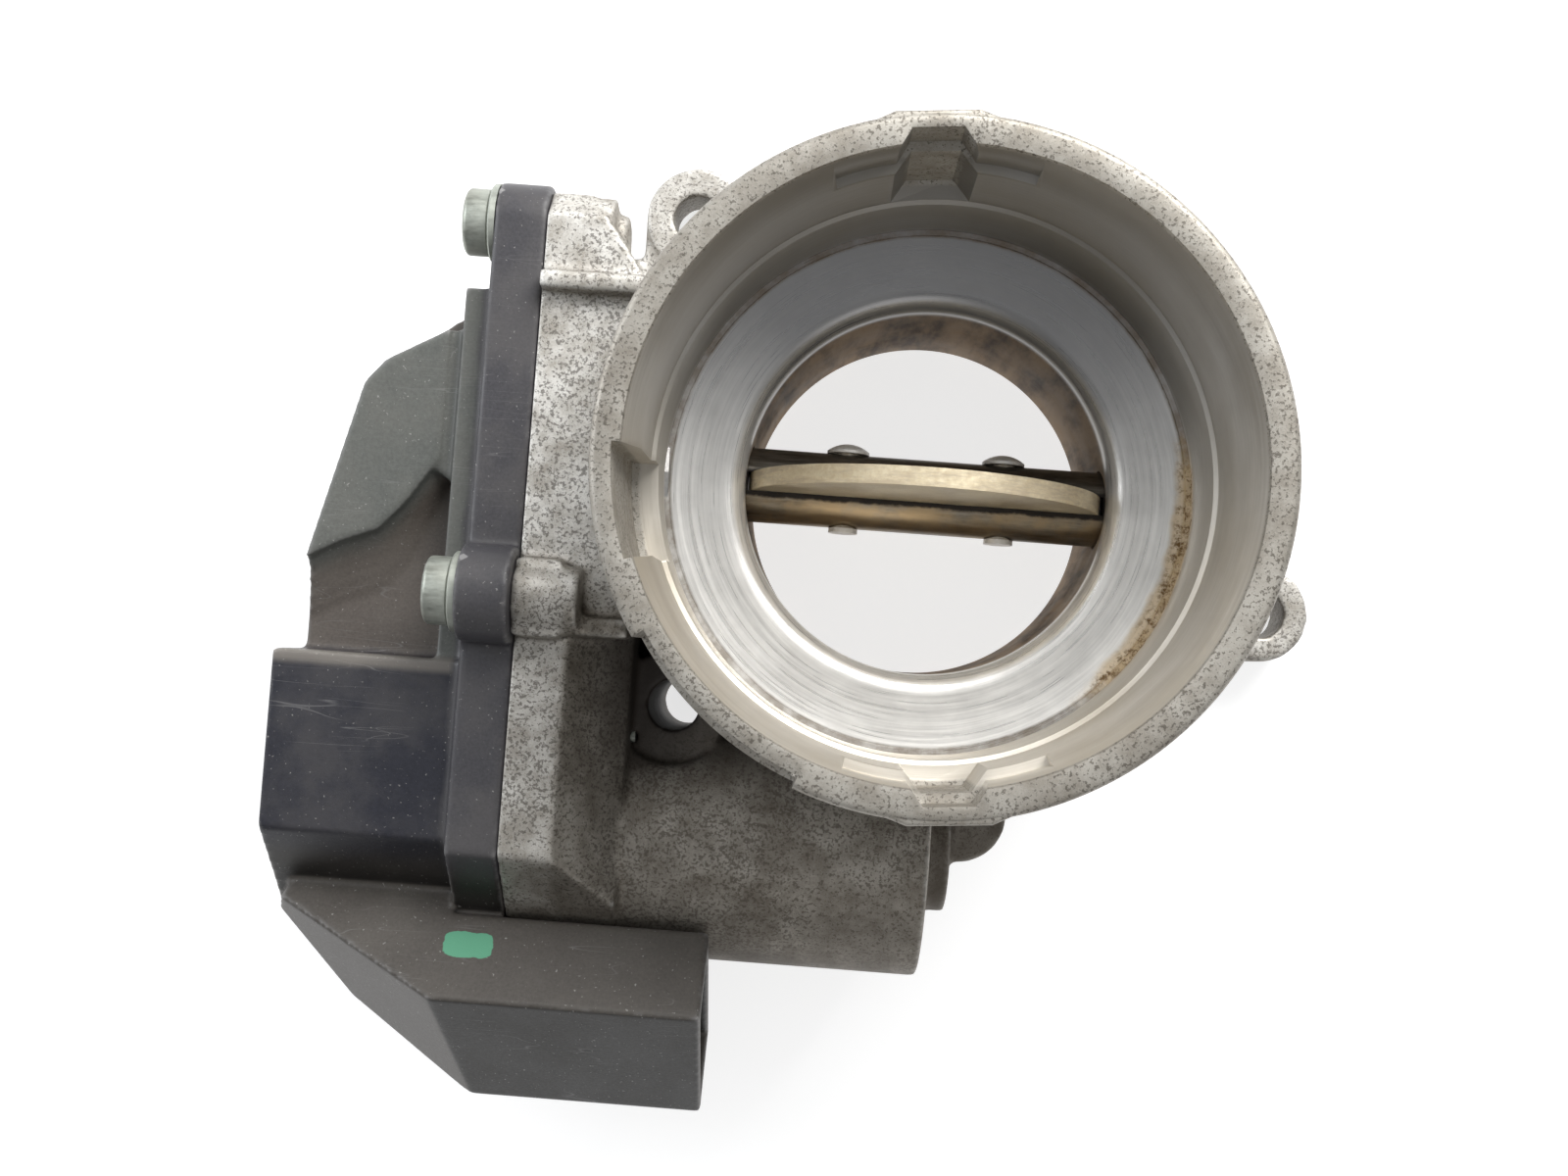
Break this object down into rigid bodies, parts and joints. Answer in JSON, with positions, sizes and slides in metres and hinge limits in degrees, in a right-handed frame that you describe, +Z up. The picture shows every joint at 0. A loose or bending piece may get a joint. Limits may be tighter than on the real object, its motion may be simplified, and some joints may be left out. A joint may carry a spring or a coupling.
{
  "type": "electronic throttle body",
  "caption": "Drive-by-wire throttle body with a die-cast housing, inlet socket, throttle plate on a cross shaft, and a motor and gear train under a moulded cover",
  "frame": {"origin": "centre of the throttle bore on the manifold flange face", "axes": "+Z up the bore to the inlet socket, +X along the throttle shaft away from the gear case, -Y toward the motor"},
  "size_m": [0.1442, 0.1378, 0.072],
  "materials": {
    "cast_aluminium": "die-cast skin, machined faces",
    "cover_plastic": "glass-filled moulding",
    "seal_rubber": "dull",
    "zinc_steel": "zinc plated",
    "bright_steel": "ground",
    "shaft_steel": "stained",
    "plate_aluminium": "machined, stained",
    "spring_steel": "drawn wire",
    "gear_plastic": "natural acetal",
    "pin_metal": "tinned",
    "board_plastic": "laminate",
    "chip_plastic": "moulded",
    "copper": "enamelled",
    "bush_bronze": "sintered",
    "brush_carbon": "pressed carbon",
    "magnet_black": "ferrite",
    "core_steel": "laminated",
    "pinion_brass": "cut"
  },
  "bodies": {
    "housing_body": {"housing": "cast_aluminium", "gear_cover": "cover_plastic", "cover_seal": "seal_rubber", "cover_screws": "zinc_steel", "screw_washers": "zinc_steel", "connector_pins": "pin_metal", "sensor_board": "board_plastic", "sensor_chip": "chip_plastic", "lead_frame": "copper", "drive_side_bearing": "bright_steel", "idle_side_bearing": "bright_steel", "shaft_seals": "seal_rubber", "shaft_end_plug": "zinc_steel", "return_spring": "spring_steel", "intermediate_pin": "bright_steel", "motor_can": "zinc_steel", "motor_end_cap": "gear_plastic", "motor_mount_plate": "zinc_steel", "motor_screws": "zinc_steel", "motor_terminals": "pin_metal", "motor_magnets": "magnet_black", "motor_bushes": "bush_bronze", "motor_brushes": "brush_carbon", "motor_wave_spring": "spring_steel"},
    "throttle": {"throttle_shaft": "shaft_steel", "throttle_plate": "plate_aluminium", "plate_screws": "shaft_steel", "sector_gear": "gear_plastic", "sensor_magnet": "magnet_black"},
    "intermediate": {"intermediate_gear": "gear_plastic"},
    "rotor": {"armature_shaft": "bright_steel", "armature_core": "core_steel", "armature_windings": "copper", "commutator": "copper", "motor_pinion": "pinion_brass"}
  },
  "joints": [
    {"name": "throttle_turn", "type": "hinge", "parent": "housing_body", "child": "throttle", "pos_m": [0, 0, 0.0252], "axis": [1, 0, 0], "range_deg": [0, 88], "stiffness_Nm_per_rad": 0.03, "springref_deg": -11.46},
    {"name": "intermediate_spin", "type": "hinge", "parent": "housing_body", "child": "intermediate", "pos_m": [0, -0.02551, 0.0237], "axis": [1, 0, 0], "range_deg": [-180, 5]},
    {"name": "rotor_spin", "type": "hinge", "parent": "housing_body", "child": "rotor", "pos_m": [0, -0.0503, 0.022], "axis": [1, 0, 0], "range_deg": [-5, 560]}
  ],
  "couplings": [
    {"joint": "intermediate_spin", "follows": "throttle_turn", "ratio": -2},
    {"joint": "rotor_spin", "follows": "throttle_turn", "ratio": 6.2667}
  ]
}
